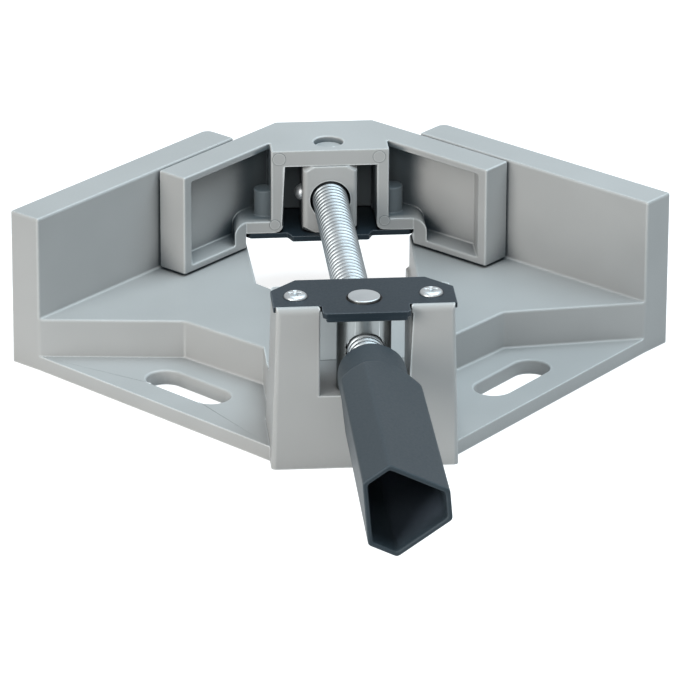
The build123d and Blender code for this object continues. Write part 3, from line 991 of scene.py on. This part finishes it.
def gap_round_journal(material, radius):
    """Blacken a ring of the plate where the nut's journal comes up, as painted shade in the gap."""
    tree = material.node_tree
    ring = effect(tree, RING, {"X": 0.0, "Y": nut_y, "Radius": radius, "Width": GAP_WIDTH})
    # Painted shade: the ring in the gap turns black.
    paint_over(material, ring, GAP_SHADE_TONE)
    tree.links.new(ring, tree.nodes["Principled BSDF"].inputs["Metallic"])


journal = points_of(nut.data)
journal = journal[journal[:, 2] > TOWER_TOP - JOURNAL_TOP]
journal_radius = float(np.hypot(journal[:, 0], journal[:, 1] - nut_y).max())
gap_round_journal(black_steel, journal_radius)
print("journal radius", round(journal_radius, 5))

# %% [markdown]
# ## Painted shade on the bosses beside the window
# Two bosses stand in the jaw's pockets beside its window. They lie in shade, so the shade is painted:
# they take a darker grey than the rest. They are part of the casting's one mesh. Three ramps in the
# object's own coordinates, multiplied, pick the place in which they stand, with the inside of the
# window. It has no end at the back, so the jaw's back faces take the painted shade too, near the
# middle. The camera doesn't see them.

# %% Paint shade on the bosses
BOSS_NEAR, BOSS_FAR = 24 * MM, 31 * MM
POCKET_FROM, POCKET_TO = JAW_FRONT + 1.5 * MM, JAW_FRONT + 3.5 * MM
RIM_FROM, RIM_TO = JAW_TOP - 1.5 * MM, JAW_TOP - 0.5 * MM
BOSS_SHADE_TONE = (0.15, 0.175, 0.19)


def painted_shade_by_the_window(material):
    """Mask = near the window in X * behind the jaw's front in Y * below its top rim in Z."""
    tree = material.node_tree
    place = own_place(tree)
    aside = worked_out(tree, "ABSOLUTE", place["X"])
    near = ramped(tree, aside, BOSS_NEAR, BOSS_FAR, 1.0, 0.0)
    behind = ramped(tree, place["Y"], POCKET_FROM, POCKET_TO)
    below = ramped(tree, place["Z"], RIM_FROM, RIM_TO, 1.0, 0.0)
    mask = worked_out(tree, "MULTIPLY", worked_out(tree, "MULTIPLY", near, behind), below)
    # Painted shade: the bosses and the inside of the window take a darker tone.
    paint_over(material, mask, BOSS_SHADE_TONE)


painted_shade_by_the_window(casting_with_painted_shade)
print("painted shade up to", round(BOSS_FAR / MM), "mm from the middle")

# %% [markdown]
# ## Which piece gets which finish
# Each piece gets one finish. Two kinds of piece need a second finish on some of their faces: the
# ejector marks, with painted shade in the fine groove round each, and the nut, whose sides take a
# darker zinc as painted shade while its flat top stays bright.

# %% Hand out the finishes
TOP_FACING = 0.7


def by_face(piece, second, wanted):
    """Give a second material to the faces for which the test of their centre and normal is true."""
    piece.data.materials.append(second)
    count = len(piece.data.polygons)
    centres, normals = np.zeros(count * 3), np.zeros(count * 3)
    piece.data.polygons.foreach_get("center", centres)
    piece.data.polygons.foreach_get("normal", normals)
    chosen = wanted(centres.reshape(-1, 3), normals.reshape(-1, 3))
    piece.data.polygons.foreach_set("material_index", chosen.astype(int))


def outer_ring(centres, normals):
    """True for the faces in the outermost ring of a mark."""
    across = np.hypot(*(centres - centres.mean(0))[:, [0, 2]].T)
    return across > across.max() - MARK_LINE


def facing_up(centres, normals):
    """True for the faces that look up."""
    return normals[:, 2] > TOP_FACING


for pieces, material, label in (([base, block], casting, "casting"),
                                ([jaw] + marks, casting_with_painted_shade, "casting"),
                                ([top_plate, low_plate, lip], black_steel, "black_steel"),
                                ([cross_pin] + fasteners, zinc, "zinc_steel"),
                                ([screw], thread_zinc, "zinc_steel"),
                                ([pin], satin_zinc, "zinc_steel"),
                                ([nut], zinc_with_painted_shade, "zinc_steel"),
                                ([handle], plastic, "handle_plastic")):
    for piece in pieces:
        piece.data.materials.append(material)
    print(material.name + ":", ", ".join(piece.name for piece in pieces))
for mark in marks:
    by_face(mark, painted_groove_shade, outer_ring)
# Bright zinc on the nut's top; its sides keep the darker zinc of painted shade.
by_face(nut, zinc, facing_up)

# %% [markdown]
# ## Stage and light
# The clamp stands on a plain white sheet. The camera sees the sheet as white, but keeps the clamp's
# soft shadow on it. One large lamp stands at the front left, one hangs overhead, and a weak one
# in front opens up the shadows.

# %% White floor
FLOOR_REACH = 4.0
FLOOR_GAP = 0.02 * MM
FLOOR_GREY = (0.5, 0.5, 0.5, 1)
FLOOR_ROUGHNESS = 0.9
FLOOR_GLOW = 0.8
WHITE = (1, 1, 1, 1)


def seen_as_background(tree):
    """1 for rays from the camera, a reflection or through glass, 0 for rays that light things."""
    rays = add(tree, "ShaderNodeLightPath").outputs
    seen = worked_out(tree, "MAXIMUM", rays["Is Camera Ray"], rays["Is Glossy Ray"])
    return worked_out(tree, "MAXIMUM", seen, rays["Is Transmission Ray"])


def white_floor():
    """Plane under the clamp, white to the camera except where the clamp shades it."""
    ground = cad_box[0][2] - FLOOR_GAP
    mesh = bpy.data.meshes.new("floor")
    mesh.from_pydata([(x * FLOOR_REACH, y * FLOOR_REACH, ground)
                      for x, y in ((-1, -1), (1, -1), (1, 1), (-1, 1))], [], [(0, 1, 2, 3)])
    sheet = bpy.data.objects.new("floor", mesh)
    bpy.context.collection.objects.link(sheet)
    material = bpy.data.materials.new("white sheet")
    material.use_nodes = True
    tree = material.node_tree
    shader = tree.nodes["Principled BSDF"]
    shader.inputs["Base Color"].default_value = FLOOR_GREY
    shader.inputs["Roughness"].default_value = FLOOR_ROUGHNESS
    lit = shader.outputs["BSDF"]
    glow = add(tree, "ShaderNodeEmission", {"Color": WHITE, "Strength": FLOOR_GLOW})
    bright = add(tree, "ShaderNodeAddShader", {0: lit, 1: glow.outputs["Emission"]})
    seen = add(tree, "ShaderNodeMixShader", {"Fac": seen_as_background(tree), 1: lit,
                                             2: bright.outputs["Shader"]})
    tree.links.new(seen.outputs["Shader"], tree.nodes["Material Output"].inputs["Surface"])
    mesh.materials.append(material)
    return sheet


floor = white_floor()
print(floor.name, "reaches", FLOOR_REACH, "m each way")

# %% Lamps
def lamp(name, place, aim, size, power, colour):
    """Square area lamp at a place, facing an aim point."""
    light = bpy.data.lights.new(name, "AREA")
    light.shape = "SQUARE"
    light.size = size
    light.energy = power
    light.color = colour
    thing = bpy.data.objects.new(name, light)
    thing.location = place
    thing.rotation_euler = (Vector(aim) - Vector(place)).to_track_quat("-Z", "Y").to_euler()
    bpy.context.collection.objects.link(thing)
    print(name, "lamp of", power, "W")


lamp("key", (-1.35, -1.1, 0.62), (0.04, 0, 0.03),
     size=0.9, power=21, colour=(1.0, 0.972, 0.92))
lamp("overhead", (0.28, 0.05, 0.9), (0.01, 0.03, 0.03),
     size=1.0, power=10.4, colour=(0.76, 0.92, 1.0))
lamp("front fill", (-0.1, -1.65, 1.0), (0, 0, 0.03),
     size=0.8, power=7.5, colour=(1.0, 0.98, 0.95))

# %% World
AMBIENT_TONE = (0.80, 0.93, 1.0, 1)
AMBIENT_STRENGTH = 0.2
SHOWN_STRENGTH = 1.0

world = bpy.data.worlds.new("studio")
bpy.context.scene.world = world
world.use_nodes = True
sky = world.node_tree
ambient = sky.nodes["Background"]
ambient.inputs["Color"].default_value = AMBIENT_TONE
ambient.inputs["Strength"].default_value = AMBIENT_STRENGTH
white = add(sky, "ShaderNodeBackground", {"Strength": SHOWN_STRENGTH})
choose = add(sky, "ShaderNodeMixShader", {"Fac": seen_as_background(sky),
                                          1: ambient.outputs["Background"],
                                          2: white.outputs["Background"]})
sky.links.new(choose.outputs["Shader"], sky.nodes["World Output"].inputs["Surface"])
bpy.context.scene.view_settings.view_transform = "Standard"
print("world lights at", AMBIENT_STRENGTH, "and shows at", SHOWN_STRENGTH)

# %% [markdown]
# ## Camera
# The picture was taken from far away with a long lens, a little to the left and from about 23 degrees
# above. The lens is given in pixels, which becomes millimetres through the sensor's width.

# %% Camera
YAW = math.radians(-4.8031)
ELEVATION = math.radians(23.1483)
ROLL = math.radians(0.2385)
DISTANCE = 2000.05 * MM
FOCAL_PIXELS = 6254.46
PICTURE_PIXELS = 680
SENSOR_WIDTH = 36.0
FARTHEST = 50
AIM = Vector((-4.067 * MM, corner_y - 134.787 * MM, 23.087 * MM))

back = Vector((math.sin(YAW) * math.cos(ELEVATION), -math.cos(YAW) * math.cos(ELEVATION),
               math.sin(ELEVATION)))
level_right = Vector((math.cos(YAW), math.sin(YAW), 0))
level_up = back.cross(level_right)
rolled_right = math.cos(ROLL) * level_right + math.sin(ROLL) * level_up
rolled_up = math.cos(ROLL) * level_up - math.sin(ROLL) * level_right
camera_data = bpy.data.cameras.new("camera")
camera_data.sensor_width = SENSOR_WIDTH
camera_data.lens = FOCAL_PIXELS / PICTURE_PIXELS * SENSOR_WIDTH
camera_data.clip_end = FARTHEST
camera = bpy.data.objects.new("camera", camera_data)
camera.matrix_world = Matrix.Translation(AIM + back * DISTANCE) @ Matrix(
    (rolled_right, rolled_up, back)).transposed().to_4x4()
bpy.context.collection.objects.link(camera)
bpy.context.scene.camera = camera
print("lens", round(camera_data.lens, 1), "mm")
